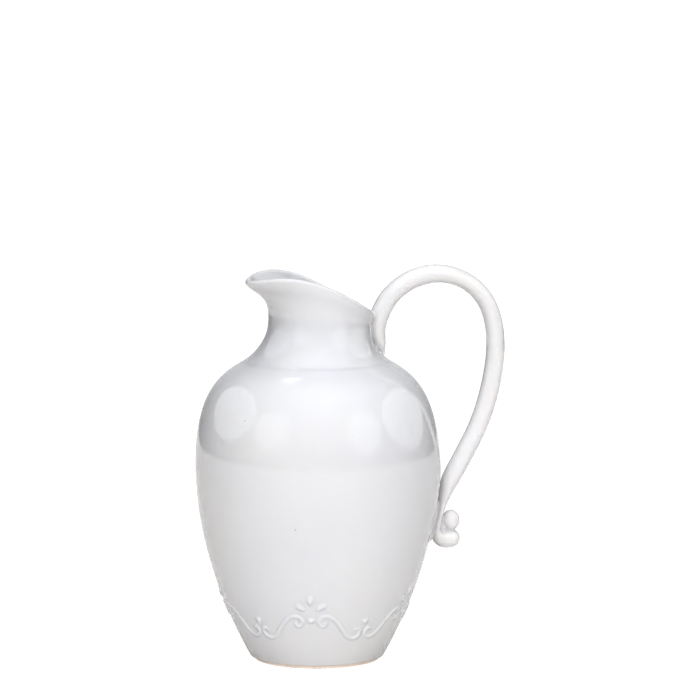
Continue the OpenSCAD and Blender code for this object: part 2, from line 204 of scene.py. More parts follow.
def belly_radius(turn, z):
    return round_radius(z) + uneven(turn, z)


def nose(a):
    """1 at the spout's nose and 0 round the rest of the mouth; a is in degrees from the nose."""
    a = (a + 180) % 360 - 180
    return np.exp(-(np.abs(a) / SPOUT_SPREAD) ** NOSE_POWER)


def cosd(a):
    return np.cos(np.radians(a))


def sind(a):
    return np.sin(np.radians(a))


def pair(x, y):
    """Points (x, y) from numbers or rows of numbers."""
    return np.stack(np.broadcast_arrays(x, y), -1).astype(float)


def lip_centre(a):
    """Centre of the lip's round section: distance from the axis, and height."""
    reach = MOUTH_R + SPOUT_REACH * nose(a)
    x = NECK_SHIFT - reach * cosd(a) - CREST_X
    height = CREST_Z - RIM_FALL * (np.sqrt(x * x + CREST_SPREAD ** 2) - CREST_SPREAD)
    return pair(reach, height - LIP_R)


def lip_lean(a):
    """Direction in which the wall runs into the lip, in degrees from level."""
    return 90 - NOSE_LEAN * nose(a)


def throat(a):
    """Narrowest place of the neck's outside."""
    return pair(THROAT_R, THROAT_Z - THROAT_DROP * ((1 - cosd(a)) / 2) ** 3)


def lower_curve(a, side, t):
    """Wall from joint to throat at the angles a: side is 1 outside and -1 inside."""
    start = pair(JOIN_R - (1 - side) / 2 * JOIN_WALL, JOIN_Z + 0 * a)
    stop = throat(a) - [(1 - side) * LIP_R, 0]
    pull = pair(0, THROAT_PULL * (stop[:, 1] - JOIN_Z))
    return bezier([start, start + NECK_PULL * JOIN_SLOPE, stop - pull, stop], t)


def upper_curve(a, side, t):
    """Wall from throat to lip."""
    lean = lip_lean(a)
    start = throat(a) - [(1 - side) * LIP_R, 0]
    stop = lip_centre(a) + side * LIP_R * pair(sind(lean), -cosd(lean))
    rise = (stop - start)[:, 1]
    return bezier(
        [start, start + pair(0, FLARE_PULL[0] * rise),
         stop - FLARE_PULL[1] * rise[:, None] * pair(cosd(lean), sind(lean)), stop], t)


def lip_curve(a, t):
    """The lip's half circle, from the outside to the inside."""
    turn = lip_lean(a) - 90 + 180 * np.asarray(t)[:, None]
    return lip_centre(a) + LIP_R * pair(cosd(turn), sind(turn))


def lean_over(z):
    """How far the neck's axis has moved towards the handle at the height z."""
    return NECK_SHIFT * smooth((z - JOIN_Z) / (THROAT_Z - THROAT_DROP - JOIN_Z))


# ---- distances, negative inside ----

# The neck's outside round its back, as radius by angle and height.
BACK_A = np.linspace(130, 230, 101)
BACK_TOP, BACK_STEP = 275, 0.25
BACK_Z = np.arange(JOIN_Z, BACK_TOP, BACK_STEP)


def back_table():
    t = np.linspace(0, 1, 200)
    wall = np.concatenate([lower_curve(BACK_A, 1, t), upper_curve(BACK_A, 1, t)[1:]])
    return np.stack([np.interp(BACK_Z, wall[:, i, 1], wall[:, i, 0]) for i in range(len(BACK_A))])


BACK_TABLE = back_table()


def neck_back_radius(a, z):
    i = np.clip((a - BACK_A[0]) / (BACK_A[1] - BACK_A[0]), 0, len(BACK_A) - 1.001)
    j = np.clip((z - BACK_Z[0]) / (BACK_Z[1] - BACK_Z[0]), 0, len(BACK_Z) - 1.001)
    i0, j0 = i.astype(int), j.astype(int)
    u, v = i - i0, j - j0
    t = BACK_TABLE
    return ((1 - u) * (1 - v) * t[i0, j0] + u * (1 - v) * t[i0 + 1, j0]
            + (1 - u) * v * t[i0, j0 + 1] + u * v * t[i0 + 1, j0 + 1])


def wall_radius(x, y, z):
    """Distance from the axis, angle and outside radius there, for points at the vessel's back."""
    x = x - np.where(z > JOIN_Z, lean_over(z), 0)
    rho, turn = np.hypot(x, y), np.arctan2(y, x)
    radius = np.where(
        z > JOIN_Z, neck_back_radius(180 - np.degrees(turn), z), belly_radius(turn, z))
    return rho, turn, radius


def wall_distance(p):
    """Distance to the outside of belly, neck and lip, at the vessel's back."""
    x, y, z = p.T
    rho, turn, radius = wall_radius(x, y, z)
    step = 0.3
    above, below = wall_radius(x, y, z + step)[2], wall_radius(x, y, z - step)[2]
    slope = (above - below) / (2 * step)
    beside = (rho - radius) / np.sqrt(1 + slope ** 2)
    lip = lip_centre(180 - np.degrees(turn))
    over = np.hypot(rho - lip[:, 0], z - lip[:, 1]) - LIP_R
    return np.where(z > lip[:, 1], over, beside)


PATH_STEP, PATH_SOFT = 0.5, 5
PATH = softened(spaced(np.vstack([HANDLE, CURL]), PATH_STEP), PATH_SOFT)
# The point where the handle's piece ends and the curl's begins.
SPLIT = int(np.argmin(np.hypot(PATH[:, 0] - HANDLE[-1, 0], PATH[:, 1] - HANDLE[-1, 1])))
ROOT_POINTS, TAIL_POINTS = 260, 110
ROOT_PATH = PATH[:ROOT_POINTS]
TAIL_PATH = PATH[SPLIT - TAIL_POINTS:]
WEB_PATH = spaced(WEB, PATH_STEP)
PAD_PATH = spaced(PAD, PATH_STEP)
CHUNK = 20000  # points handled at once


def nearest(p, points):
    """For each point p the index of the nearest of points, and the distance."""
    index = np.empty(len(p), int)
    gap = np.empty(len(p))
    for start in range(0, len(p), CHUNK):
        part = slice(start, start + CHUNK)
        square = ((p[part, None, :] - points[None, :, :]) ** 2).sum(2)
        index[part] = square.argmin(1)
        gap[part] = np.sqrt(square.min(1))
    return index, gap


def rod_distance(p, path):
    """Distance to a rod with oval section along a path in the plane of the handle."""
    flat = p[:, [0, 2]]
    i, _ = nearest(flat, path[:, :2])
    i = np.clip(i, 1, len(path) - 2)
    way = path[i + 1, :2] - path[i - 1, :2]
    length = np.hypot(*way.T)
    way = way / length[:, None]
    off = flat - path[i, :2]
    ahead = (off * way).sum(1)
    share = np.clip(ahead / (length / 2), -1, 1)
    other = np.where(share > 0, i + 1, i - 1)
    here = path[i] + np.abs(share)[:, None] * (path[other] - path[i])
    side = np.hypot(*(flat - here[:, :2]).T)
    return oval_distance(side, p[:, 1], here[:, 2], here[:, 3])


def oval_distance(x, y, a, b):
    """Near enough the distance to an oval of half axes a and b round the origin."""
    k0 = np.hypot(x / a, y / b) + 1e-9
    k1 = np.hypot(x / a ** 2, y / b ** 2) + 1e-9
    return k0 * (k0 - 1) / k1


def bud_distance(p):
    dx, dz = p[:, 0] - BUD_CENTRE[0], p[:, 2] - BUD_CENTRE[1]
    up = -math.sin(BUD_TILT) * dx + math.cos(BUD_TILT) * dz
    out = math.cos(BUD_TILT) * dx + math.sin(BUD_TILT) * dz
    return oval_distance(np.hypot(out, p[:, 1]), up, BUD_R, BUD_H)


def join(a, b, reach):
    """Both shapes with a rounded fillet where they meet."""
    h = np.clip(1 - np.abs(a - b) / reach, 0, 1)
    return np.minimum(a, b) - h ** 3 * reach / 6


def tail_and_web(p):
    """Distance to the tail and its roll, with the clay that fills the valley above."""
    return join(rod_distance(p, TAIL_PATH), rod_distance(p, WEB_PATH), WEB_REACH)


# ---- meshes ----

def wrap_quads(rows, columns, closed=False):
    """Quads over rows of closed rings; closed also joins the last row to the first."""
    i = np.arange(rows if closed else rows - 1)[:, None] * columns
    j = np.arange(columns)[None, :]
    after = (i + columns) % (rows * columns)
    k = (j + 1) % columns
    return np.stack([i + j, i + k, after + k, after + j], -1).reshape(-1, 4)


def fan(centre, ring):
    """Triangles from a centre point to a closed ring."""
    return np.stack([np.full(len(ring), centre), ring, np.roll(ring, -1)], 1)


def volume(points, quads, tris):
    """Six times the volume; negative if the faces point inwards."""
    faces = np.vstack([quads[:, [0, 1, 2]], quads[:, [0, 2, 3]], tris])
    a, b, c = points[faces[:, 0]], points[faces[:, 1]], points[faces[:, 2]]
    return (a * np.cross(b, c)).sum()


def add_piece(name, points, quads, material, nodes, tris=(), normals=None, sharp=()):
    """Adds a closed mesh, given in millimetres, that stands for CAD nodes and rides on the body."""
    points = np.asarray(points, float)
    quads = np.asarray(quads, int).reshape(-1, 4)
    tris = np.asarray(tris, int).reshape(-1, 3)
    if volume(points, quads, tris) < 0:
        quads, tris = quads[:, ::-1], tris[:, ::-1]
    mesh = bpy.data.meshes.new(name)
    mesh.vertices.add(len(points))
    mesh.vertices.foreach_set("co", (points * MM).astype(np.float32).ravel())
    corners = np.concatenate([quads.ravel(), tris.ravel()])
    mesh.loops.add(len(corners))
    mesh.loops.foreach_set("vertex_index", corners.astype(np.int32))
    starts = np.concatenate([
        4 * np.arange(len(quads)), 4 * len(quads) + 3 * np.arange(len(tris))])
    mesh.polygons.add(len(starts))
    mesh.polygons.foreach_set("loop_start", starts.astype(np.int32))
    mesh.polygons.foreach_set("use_smooth", np.ones(len(starts), bool))
    mesh.update(calc_edges=True)
    if len(sharp):
        ends = np.empty(len(mesh.edges) * 2, np.int32)
        mesh.edges.foreach_get("vertices", ends)
        ring_of = np.full(len(points), -1)
        for number, ring in enumerate(sharp):
            ring_of[ring] = number
        pairs = ring_of[ends.reshape(-1, 2)]
        mark = (pairs[:, 0] >= 0) & (pairs[:, 0] == pairs[:, 1])
        mesh.attributes.new("sharp_edge", "BOOLEAN", "EDGE").data.foreach_set("value", mark)
    if normals is not None:
        mesh.normals_split_custom_set_from_vertices(normals.tolist())
    mesh.materials.append(material)
    piece = bpy.data.objects.new(name, mesh)
    bpy.context.scene.collection.objects.link(piece)
    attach(piece, BODY)
    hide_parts(*nodes)


def gradient(distance, p, step=0.02):
    """Slope of the distance at the points p."""
    out = np.empty_like(p)
    for axis in range(3):
        shift = np.zeros(3)
        shift[axis] = step
        out[:, axis] = distance(p + shift) - distance(p - shift)
    return out / (2 * step)


REFINE_ROUNDS, REFINE_MOVE, REFINE_LIMIT, FLATTEST = 4, 0.4, 0.8, 0.2  # moves in cells


def surface_net(distance, low, high, step):
    """Points and quads of the surface where distance is 0, in a box of cells of size step."""
    axes = [np.arange(a, b + step, step) for a, b in zip(low, high)]
    grid = np.stack(np.meshgrid(*axes, indexing="ij"), -1)
    value = distance(grid.reshape(-1, 3)).reshape(grid.shape[:3])
    n = np.array(value.shape) - 1
    total, number = np.zeros((*n, 3)), np.zeros(n)
    crossings = []
    for axis in range(3):
        first, last = [slice(None)] * 3, [slice(None)] * 3
        first[axis], last[axis] = slice(0, -1), slice(1, None)
        a, b = value[tuple(first)], value[tuple(last)]
        cross = (a < 0) != (b < 0)
        share = np.where(cross, a / np.where(cross, a - b, 1), 0)
        point = grid[tuple(first)].copy()
        point[..., axis] += share * step
        one, two = (axis + 1) % 3, (axis + 2) % 3
        for i in (0, 1):
            for j in (0, 1):
                cut = [slice(None)] * 3
                cut[one], cut[two] = slice(i, i + n[one]), slice(j, j + n[two])
                hit = cross[tuple(cut)]
                total += np.where(hit[..., None], point[tuple(cut)], 0)
                number += hit
        crossings.append((axis, one, two, cross, a < 0))
    active = number > 0
    index = np.full(n, -1)
    index[active] = np.arange(active.sum())
    quads = []
    for axis, one, two, cross, inward in crossings:
        found = np.argwhere(cross)
        keep = ((found[:, one] > 0) & (found[:, one] < n[one])
                & (found[:, two] > 0) & (found[:, two] < n[two]))
        found = found[keep]
        ring = []
        for i, j in ((1, 1), (0, 1), (0, 0), (1, 0)):
            cell = found.copy()
            cell[:, one] -= i
            cell[:, two] -= j
            ring.append(index[tuple(cell.T)])
        ring = np.stack(ring, 1)
        flip = ~inward[tuple(found.T)]
        ring[flip] = ring[flip][:, ::-1]
        quads.append(ring)
    start = total[active] / number[active][:, None]
    points = start.copy()
    for _ in range(REFINE_ROUNDS):
        slope = gradient(distance, points)
        steep = np.maximum((slope ** 2).sum(1), FLATTEST)
        move = distance(points)[:, None] * slope / steep[:, None]
        size = np.linalg.norm(move, axis=1, keepdims=True)
        points -= move * np.minimum(1, REFINE_MOVE * step / np.maximum(size, 1e-9))
        points = start + np.clip(points - start, -REFINE_LIMIT * step, REFINE_LIMIT * step)
    return points, np.vstack(quads)


def unit(v):
    return v / np.maximum(np.linalg.norm(v, axis=-1, keepdims=True), 1e-12)


def add_clay(name, distance, shading, low, high):
    """Piece of soft clay, shaded with the normals of the smooth whole that it belongs to."""
    points, quads = surface_net(distance, low, high, NET_STEP)
    add_piece(name, points, quads, LIGHTENED_HANDLE_GLAZE, [name],
              normals=unit(gradient(shading, points)))


# ---- materials ----

def node(tree, kind, **settings):
    """New shader node; each setting is an input's value or an attribute."""
    made = tree.nodes.new(kind)
    for key, value in settings.items():
        if key in made.inputs:
            made.inputs[key].default_value = value
        else:
            setattr(made, key, value)
    return made


def colour_mix(tree):
    """Sockets of a new colour mix: share, first and second colour, result."""
    mix = node(tree, "ShaderNodeMix", data_type="RGBA")
    first, second = [socket for socket in mix.inputs if socket.type == "RGBA"]
    result = next(socket for socket in mix.outputs if socket.type == "RGBA")
    return mix.inputs["Factor"], first, second, result


def mapped(tree, value, from_low, from_high, low, high):
    """The value, taken from one range to another."""
    ranged = node(tree, "ShaderNodeMapRange", **{
        "From Min": from_low, "From Max": from_high, "To Min": low, "To Max": high})
    tree.links.new(value, ranged.inputs["Value"])
    return ranged.outputs["Result"]


def glaze(name, cool, warm, speck_share, ripple):
    """Clear glossy glaze over white clay: faint drifts of tone, fine ripple, sparse specks."""
    material = bpy.data.materials.new(name)
    material.use_nodes = True
    tree = material.node_tree
    link = tree.links.new
    shader = tree.nodes["Principled BSDF"]
    shader.inputs["IOR"].default_value = 1.52
    shader.inputs["Coat Weight"].default_value = 0.35
    shader.inputs["Coat Roughness"].default_value = 0.03
    shader.inputs["Coat IOR"].default_value = 1.5
    shader.inputs["Subsurface Weight"].default_value = 0.25
    shader.inputs["Subsurface Radius"].default_value = (1, 0.85, 0.7)
    shader.inputs["Subsurface Scale"].default_value = 0.004
    place = node(tree, "ShaderNodeTexCoord").outputs["Object"]

    drift = node(tree, "ShaderNodeTexNoise", Scale=11.0, Detail=3.0, Roughness=0.5)
    share, first, second, tone = colour_mix(tree)
    first.default_value, second.default_value = (*cool, 1), (*warm, 1)
    link(place, drift.inputs["Vector"])
    link(mapped(tree, drift.outputs["Fac"], 0.3, 0.7, 0, 1), share)

    # Specks: only the few cells of a fine cell pattern whose random value is low.
    cells = node(tree, "ShaderNodeTexVoronoi", Scale=190.0)
    split = node(tree, "ShaderNodeSeparateColor")
    picked = node(tree, "ShaderNodeMath", operation="LESS_THAN")
    picked.inputs[1].default_value = speck_share
    amount = node(tree, "ShaderNodeMath", operation="MULTIPLY")
    share, plain, iron, speckled = colour_mix(tree)
    iron.default_value = (0.36, 0.31, 0.26, 1)
    link(place, cells.inputs["Vector"])
    link(cells.outputs["Color"], split.inputs["Color"])
    link(split.outputs["Red"], picked.inputs[0])
    link(picked.outputs["Value"], amount.inputs[0])
    link(mapped(tree, cells.outputs["Distance"], 0.05, 0.15, 0.55, 0), amount.inputs[1])
    link(amount.outputs["Value"], share)
    link(tone, plain)
    link(speckled, shader.inputs["Base Color"])

    # Gloss varies a little where the glaze lies thinner.
    gloss = node(tree, "ShaderNodeTexNoise", Scale=38.0, Detail=4.0, Roughness=0.6)
    link(place, gloss.inputs["Vector"])
    link(mapped(tree, gloss.outputs["Fac"], 0, 1, 0.03, 0.07), shader.inputs["Roughness"])

    # Ripple of the glaze, finer than the mesh carries.
    flow = node(tree, "ShaderNodeTexNoise", Scale=75.0, Detail=2.0, Roughness=0.45)
    bump = node(tree, "ShaderNodeBump", Strength=ripple, Distance=0.0004)
    link(place, flow.inputs["Vector"])
    link(flow.outputs["Fac"], bump.inputs["Height"])
    link(bump.outputs["Normal"], shader.inputs["Normal"])
    link(bump.outputs["Normal"], shader.inputs["Coat Normal"])
    return material


def bare_clay(name):
    """Unglazed fired clay: peach, matt and grainy, with darker stains."""
    material = bpy.data.materials.new(name)
    material.use_nodes = True
    tree = material.node_tree
    link = tree.links.new
    shader = tree.nodes["Principled BSDF"]
    place = node(tree, "ShaderNodeTexCoord").outputs["Object"]
    grain = node(tree, "ShaderNodeTexNoise", Scale=900.0, Detail=6.0, Roughness=0.7)
    stain = node(tree, "ShaderNodeTexNoise", Scale=60.0, Detail=4.0, Roughness=0.6)
    tone = node(tree, "ShaderNodeValToRGB")
    tone.color_ramp.elements[0].position = 0.3
    tone.color_ramp.elements[0].color = (0.78, 0.62, 0.50, 1)
    tone.color_ramp.elements[1].position = 0.62
    tone.color_ramp.elements[1].color = (0.94, 0.86, 0.79, 1)
    mixed = node(tree, "ShaderNodeMath", operation="MULTIPLY_ADD")
    mixed.inputs[1].default_value = 0.3
    bump = node(tree, "ShaderNodeBump", Strength=0.6, Distance=0.0003)
    link(place, grain.inputs["Vector"])
    link(place, stain.inputs["Vector"])
    link(grain.outputs["Fac"], mixed.inputs[0])
    link(stain.outputs["Fac"], mixed.inputs[2])
    link(mixed.outputs["Value"], tone.inputs["Fac"])
    link(tone.outputs["Color"], shader.inputs["Base Color"])
    link(mapped(tree, grain.outputs["Fac"], 0, 1, 0.7, 0.95), shader.inputs["Roughness"])
    link(grain.outputs["Fac"], bump.inputs["Height"])
    link(bump.outputs["Normal"], shader.inputs["Normal"])
    return material


# The handle and the clay round it are a little lighter than the body: painted light, a lightened
# copy of the body's glaze standing in for light that the lamps leave short on the handle.
WHITE_GLAZE = glaze("white_glaze", (0.68, 0.682, 0.70), (0.70, 0.698, 0.70), 0.003, 0.03)
LIGHTENED_HANDLE_GLAZE = glaze("handle_glaze_painted_light", (0.73, 0.725, 0.732), (0.745, 0.737, 0.73), 0.002, 0.04)
# The relief's glaze is a little lighter than the body's: partly glaze running thin over the raised
# strokes, partly painted light on them.
RELIEF_GLAZE_THIN_AND_LIT = glaze("relief_glaze", (0.70, 0.70, 0.718), (0.72, 0.717, 0.718), 0.002, 0.03)
BARE_CLAY = bare_clay("bare_foot")


# ---- belly and foot ----

TURNS = 2 * np.pi * np.arange(AROUND) / AROUND


def rings(radius, z, middle=0.0):
    """Rows of points round the axis; radius may differ round each row."""
    radius = np.broadcast_to(radius, (len(z), AROUND))
    x = middle + radius * np.cos(TURNS)
    z = np.broadcast_to(np.reshape(z, (-1, 1)), x.shape)
    return np.stack([x, radius * np.sin(TURNS), z], -1)


def make_belly():
    lower_z = np.concatenate([
        FOOT_H + np.array([0, 0.12, 0.3, 0.6, 1.0, 1.6]), np.linspace(5, BELLY_Z, 104)])
    shoulder_z = np.interp(
        np.concatenate([np.linspace(0.014, 0.98, 72), [0.987, 0.993, 0.997, 0.999, 1]]),
        np.linspace(0, 1, len(SHOULDER)), SHOULDER[:, 1])
    outer_z = np.concatenate([lower_z, shoulder_z])
    up = np.clip((outer_z - FOOT_H) / BEAD_H, 0, 1)
    bead = BEAD * (1 - np.sqrt(1 - (1 - up) ** 2))
    outer = rings(belly_radius(TURNS, outer_z[:, None]) - bead[:, None], outer_z)

    curve = np.stack([round_radius(outer_z), outer_z], 1)
    way = unit(np.gradient(curve, axis=0))
    inside = curve + WALL * np.stack([-way[:, 1], way[:, 0]], 1)
    inside = inside[(outer_z > FLOOR_CURVE_Z) & (inside[:, 1] < JOIN_Z - 2)][::-2]
    low = inside[-1]
    floor = bezier(
        [low, low - LOW_PULL, [FLOOR_R + FLOOR_PULL, FLOOR_Z], [FLOOR_R, FLOOR_Z]],
        np.linspace(0, 1, 16))[1:]
    inner_r = inside[:, :1] + uneven(TURNS, inside[:, 1:])
    joint = rings(JOIN_R - JOIN_WALL, np.array([JOIN_Z]))
    body = np.concatenate([
        outer, joint, rings(inner_r, inside[:, 1]), rings(floor[:, :1], floor[:, 1])])
    points = np.vstack([body.reshape(-1, 3), [[0, 0, FOOT_H], [0, 0, FLOOR_Z]]])
    count, first = len(body) * AROUND, np.arange(AROUND)
    last, seam = count - AROUND + first, (len(outer) - 1) * AROUND + first
    add_piece(
        "belly", points, wrap_quads(len(body), AROUND), WHITE_GLAZE, ["belly"],
        tris=np.vstack([fan(count, first)[:, ::-1], fan(count + 1, last)]),
        sharp=[first, seam, seam + AROUND])


def make_foot():
    corner = np.radians(np.linspace(0, 90, 7))
    cos, sin = np.cos(corner), np.sin(corner)
    inner = np.stack([FOOT_BORE_R + FOOT_EDGE * (1 - cos), FOOT_EDGE * (1 - sin)], 1)
    outer = np.stack([FOOT_R - FOOT_EDGE + FOOT_EDGE * sin, FOOT_EDGE * (1 - cos)], 1)
    top_r = round_radius(FOOT_H) - FOOT_INSET
    outside = np.linspace([FOOT_R, FOOT_EDGE], [top_r, FOOT_H], 5)[1:]
    profile = np.vstack([[FOOT_BORE_R, FOOT_H], inner, outer, outside])
    # The edge was sponged by hand: it wanders a little and has a few shallow nicks.
    wander = sum(size * np.sin(n * TURNS + start) for size, n, start in WANDER)
    aside = [((TURNS - at) + np.pi) % (2 * np.pi) - np.pi for at in NICKS]
    nicks = sum(-NICK_DEPTH * np.exp(-(gap * FOOT_R / NICK_W) ** 2) for gap in aside)
    below = profile[:, 1] < FOOT_H - 0.01
    side = (smooth((profile[:, 0] - FOOT_FADE_R) / FOOT_FADE) * below)[:, None]
    body = rings(profile[:, :1] + side * (wander + nicks), profile[:, 1])
    edge = np.arange(AROUND)
    add_piece(
        "foot_ring", body.reshape(-1, 3), wrap_quads(len(profile), AROUND, closed=True),
        BARE_CLAY, ["foot_ring"], sharp=[edge, (len(profile) - 1) * AROUND + edge])


# ---- neck ----

def make_neck():
    a = 180 - np.degrees(TURNS)
    lower_t = np.concatenate([[0, 0.004, 0.012, 0.03, 0.055], np.linspace(0.08, 1, 52)])
    rows = np.concatenate([
        lower_curve(a, 1, lower_t),
        upper_curve(a, 1, np.linspace(0, 1, 46))[1:],
        lip_curve(a, np.linspace(0, 1, 17))[1:-1],
        upper_curve(a, -1, np.linspace(1, 0, 36)),
        lower_curve(a, -1, lower_t[::-1])[1:],
    ])
    x = lean_over(rows[..., 1]) + rows[..., 0] * np.cos(TURNS)
    body = np.stack([x, rows[..., 0] * np.sin(TURNS), rows[..., 1]], -1)
    edge = np.arange(AROUND)
    add_piece(
        "neck_and_spout", body.reshape(-1, 3), wrap_quads(len(rows), AROUND, closed=True),
        WHITE_GLAZE, ["neck_and_spout"],
        sharp=[edge, (len(rows) - 1) * AROUND + edge])


# ---- handle, root, tail and curl ----

def make_handle():
    sides = 56
    i = np.arange(0, SPLIT + 1, 2)
    here = PATH[i]
    ahead, behind = np.clip(i + 1, 0, len(PATH) - 1), np.clip(i - 1, 0, None)
    way = unit(PATH[ahead, :2] - PATH[behind, :2])
    turn = 2 * np.pi * np.arange(sides) / sides
    off = here[:, 2:3] * np.cos(turn)
    body = np.stack([
        here[:, 0:1] + off * way[:, 1:2],
        here[:, 3:4] * np.sin(turn),
        here[:, 1:2] - off * way[:, 0:1],
    ], -1)
    count = len(i) * sides
    points = np.vstack([body.reshape(-1, 3), body[0].mean(0), body[-1].mean(0)])
    edge = np.arange(sides)
    add_piece(
        "handle", points, wrap_quads(len(i), sides), LIGHTENED_HANDLE_GLAZE, ["handle"],
        tris=np.vstack([fan(count, edge)[:, ::-1], fan(count + 1, count - sides + edge)]),
        sharp=[edge, count - sides + edge])


def slip_reach(p):
    """Width of the slip in the angle: it spreads round the root's lower tip."""
    return SLIP_REACH + SLIP_EXTRA * smooth((SLIP_Z - p[:, 2]) / SLIP_FADE)


def make_root_slip():
    """Slip smeared into the angle between neck and handle."""
    def whole(p):
        return join(rod_distance(p, ROOT_PATH), wall_distance(p), slip_reach(p)) + SINK

    def slip(p):
        rod, wall, reach = rod_distance(p, ROOT_PATH), wall_distance(p), slip_reach(p)
        return np.maximum.reduce([
            join(rod, wall, reach) + SINK, -(wall + SEAM_DEPTH), -(rod + SEAM_DEPTH),
            rod - SLIP_SPREAD * reach, wall - SLIP_SPREAD * reach])

    add_clay("root_slip", slip, whole, (38, -12, 220), (68, 12, 269))


def make_tail_pad():
    """Clay pad that the tail was pressed on to the belly with."""
    def parts(p):
        rod, wall, core = rod_distance(p, TAIL_PATH), wall_distance(p), rod_distance(p, PAD_PATH)
        whole = join(join(core, wall, PAD_WALL_REACH), rod, PAD_TAIL_REACH) + SINK
        return whole, -(wall + SEAM_DEPTH), -(rod + SEAM_DEPTH), core - PAD_SPREAD

    add_clay("tail_pad", lambda p: np.maximum.reduce(parts(p)), lambda p: parts(p)[0],
             (80, -9, 76), (104, 9, 123))


CURL_OVERLAP = 1.5  # how far the curl reaches into the handle's end
ROLL_X, ROLL_Z = 5.5, 5  # from the handle's end: further out and below, the tail isn't cut


def make_curl():
    """Rolled end of the tail, with the clay that fills the valley above it."""
    top = PATH[SPLIT, :2]
    way = unit(PATH[SPLIT + 1, :2] - PATH[SPLIT - 1, :2])

    def shape(p):
        tail, web = rod_distance(p, TAIL_PATH), rod_distance(p, WEB_PATH)
        cut = np.maximum(tail, -((p[:, [0, 2]] - top) @ way) - CURL_OVERLAP)
        roll = (p[:, 0] >= top[0] + ROLL_X) & (p[:, 2] <= top[1] + ROLL_Z)
        filled = np.maximum.reduce([
            join(tail, web, WEB_REACH) + SINK, -(tail + SEAM_DEPTH), web - WEB_SPREAD])
        return np.minimum(np.where(roll, tail, cut), filled)

    add_clay("curl", shape, tail_and_web, (85, -9, 77), (116, 9, 110))


def make_bud():
    """Bud that sits on the roll, pinched in where it was pressed on."""
    def parts(p):
        bud, rest = bud_distance(p), tail_and_web(p)
        return join(bud, rest, BUD_REACH) + SINK, -(rest + SEAM_DEPTH), bud - BUD_SPREAD

    add_clay("curl_bud", lambda p: np.maximum.reduce(parts(p)), lambda p: parts(p)[0],
             (95, -9, 88), (115, 9, 112))


# ---- garland ----

def stroke_height(u, z):
    """Relief of half a scroll at a distance u round the belly from the palmette."""
    path = softened(spaced(SCROLL, STROKE_STEP), PATH_SOFT)
    i, gap = nearest(np.stack([u.ravel(), z.ravel()], 1), path)
    from_end = np.minimum(i, len(path) - 1 - i) * STROKE_STEP
    full = smooth(STROKE_START + from_end / STROKE_TAPER)
    half = STROKE_HALF * (STROKE_END_HALF + (1 - STROKE_END_HALF) * full)
    height = STROKE_H * (STROKE_END_H + (1 - STROKE_END_H) * full)
    return swell(gap / half, height, half, STROKE_POWER).reshape(u.shape)


def swell(q, height, half, power):
    """Rounded rise of that height at q = 0, falling softly to nothing at q = 1, then below."""
    inside = height * np.clip(1 - q * q, 0, 1) ** power
    return np.where(q < 1, inside, -SKIRT * half * (q - 1))


def bump_height(u, z, half_l, half_w, tilt, point):
    """Relief of a petal, pearl or drop; point says how much it narrows downwards."""
    t = math.radians(tilt)
    x = u * math.cos(t) + z * math.sin(t)
    y = -u * math.sin(t) + z * math.cos(t)
    narrow = 1 + point * np.clip(y / half_l, -1, 1)
    q = np.hypot(x / (SOFT_W * half_w * narrow), y / (SOFT_L * half_l))
    return swell(q, PETAL_H, half_w, BUMP_POWER)


def palmette_height(u, z):
    return np.maximum.reduce([
        bump_height(u - place, z - high, PETAL_L, PETAL_W, tilt, PETAL_POINT)
        for place, high, tilt in PETALS])


def pearl_height(u, z):
    return bump_height(u, z - PEARL_Z, PEARL_R, PEARL_R, 0, 0)


def drop_height(u, z):
    return bump_height(u, z - DROP_Z, DROP_L, DROP_W, 0, DROP_POINT)


def on_belly(turn, z, h):
    """Point on the belly's outside, raised by h along its normal."""
    step = 0.2
    slope = (belly_radius(turn, z + step) - belly_radius(turn, z - step)) / (2 * step)
    out = 1 / np.sqrt(1 + slope ** 2)
    radius = belly_radius(turn, z) + h * out
    return np.stack([radius * np.cos(turn), radius * np.sin(turn), z - h * slope * out], -1)


def add_relief(name, at, height, box, mirror=1):
    """Relief height(u, z) over the box (u low, u high, z low, z high), round the angle at."""
    left, right, low, high = box
    u, z = np.meshgrid(np.arange(left, right, RELIEF_STEP), np.arange(low, high, RELIEF_STEP),
                       indexing="ij")
    h = height(u, z)
    top = on_belly(at + mirror * u / RING_R, z, h - SINK)
    under = on_belly(at + mirror * u / RING_R, z, np.full(h.shape, -RELIEF_DEPTH))
    # Only the cells that rise above the belly are kept, with a wall down from their edge.
    peak = np.maximum.reduce([h[:-1, :-1], h[1:, :-1], h[:-1, 1:], h[1:, 1:]])
    kept = np.zeros((h.shape[0] + 1, h.shape[1] + 1), bool)
    kept[1:-1, 1:-1] = peak > -0.05
    inner = kept[1:-1, 1:-1]
    number = np.arange(h.size).reshape(h.shape)
    a, b, c, d = number[:-1, :-1], number[1:, :-1], number[1:, 1:], number[:-1, 1:]
    lid = np.stack([a, b, c, d], -1)[inner]
    quads = [lid, lid[:, ::-1] + h.size]
    for gone, p, q in ((~kept[1:-1, :-2], b, a), (~kept[1:-1, 2:], d, c),
                       (~kept[:-2, 1:-1], a, d), (~kept[2:, 1:-1], c, b)):
        edge = inner & gone
        quads.append(np.stack([p[edge], q[edge], q[edge] + h.size, p[edge] + h.size], -1))
    quads = np.vstack(quads)
    points = np.concatenate([top.reshape(-1, 3), under.reshape(-1, 3)])
    used, quads = np.unique(quads, return_inverse=True)
    add_piece(name, points[used], quads.reshape(-1, 4), RELIEF_GLAZE_THIN_AND_LIT, [name])


def make_garland():
    for i in range(REPEATS):
        at = 2 * math.pi * (i + 0.5) / REPEATS
        add_relief(f"palmette_{i + 1}", at, palmette_height, (-13, 13, 46, 63))
        add_relief(f"pearl_{i + 1}", at, pearl_height, (-4, 4, 36, 45))
        add_relief(f"scroll_right_{i + 1}", at, stroke_height, (3, 43, 22, 48))
        add_relief(f"scroll_left_{i + 1}", at, stroke_height, (3, 43, 22, 48), mirror=-1)
        add_relief(f"drop_{i + 1}", at + math.pi / REPEATS, drop_height, (-4, 4, 34, 43))


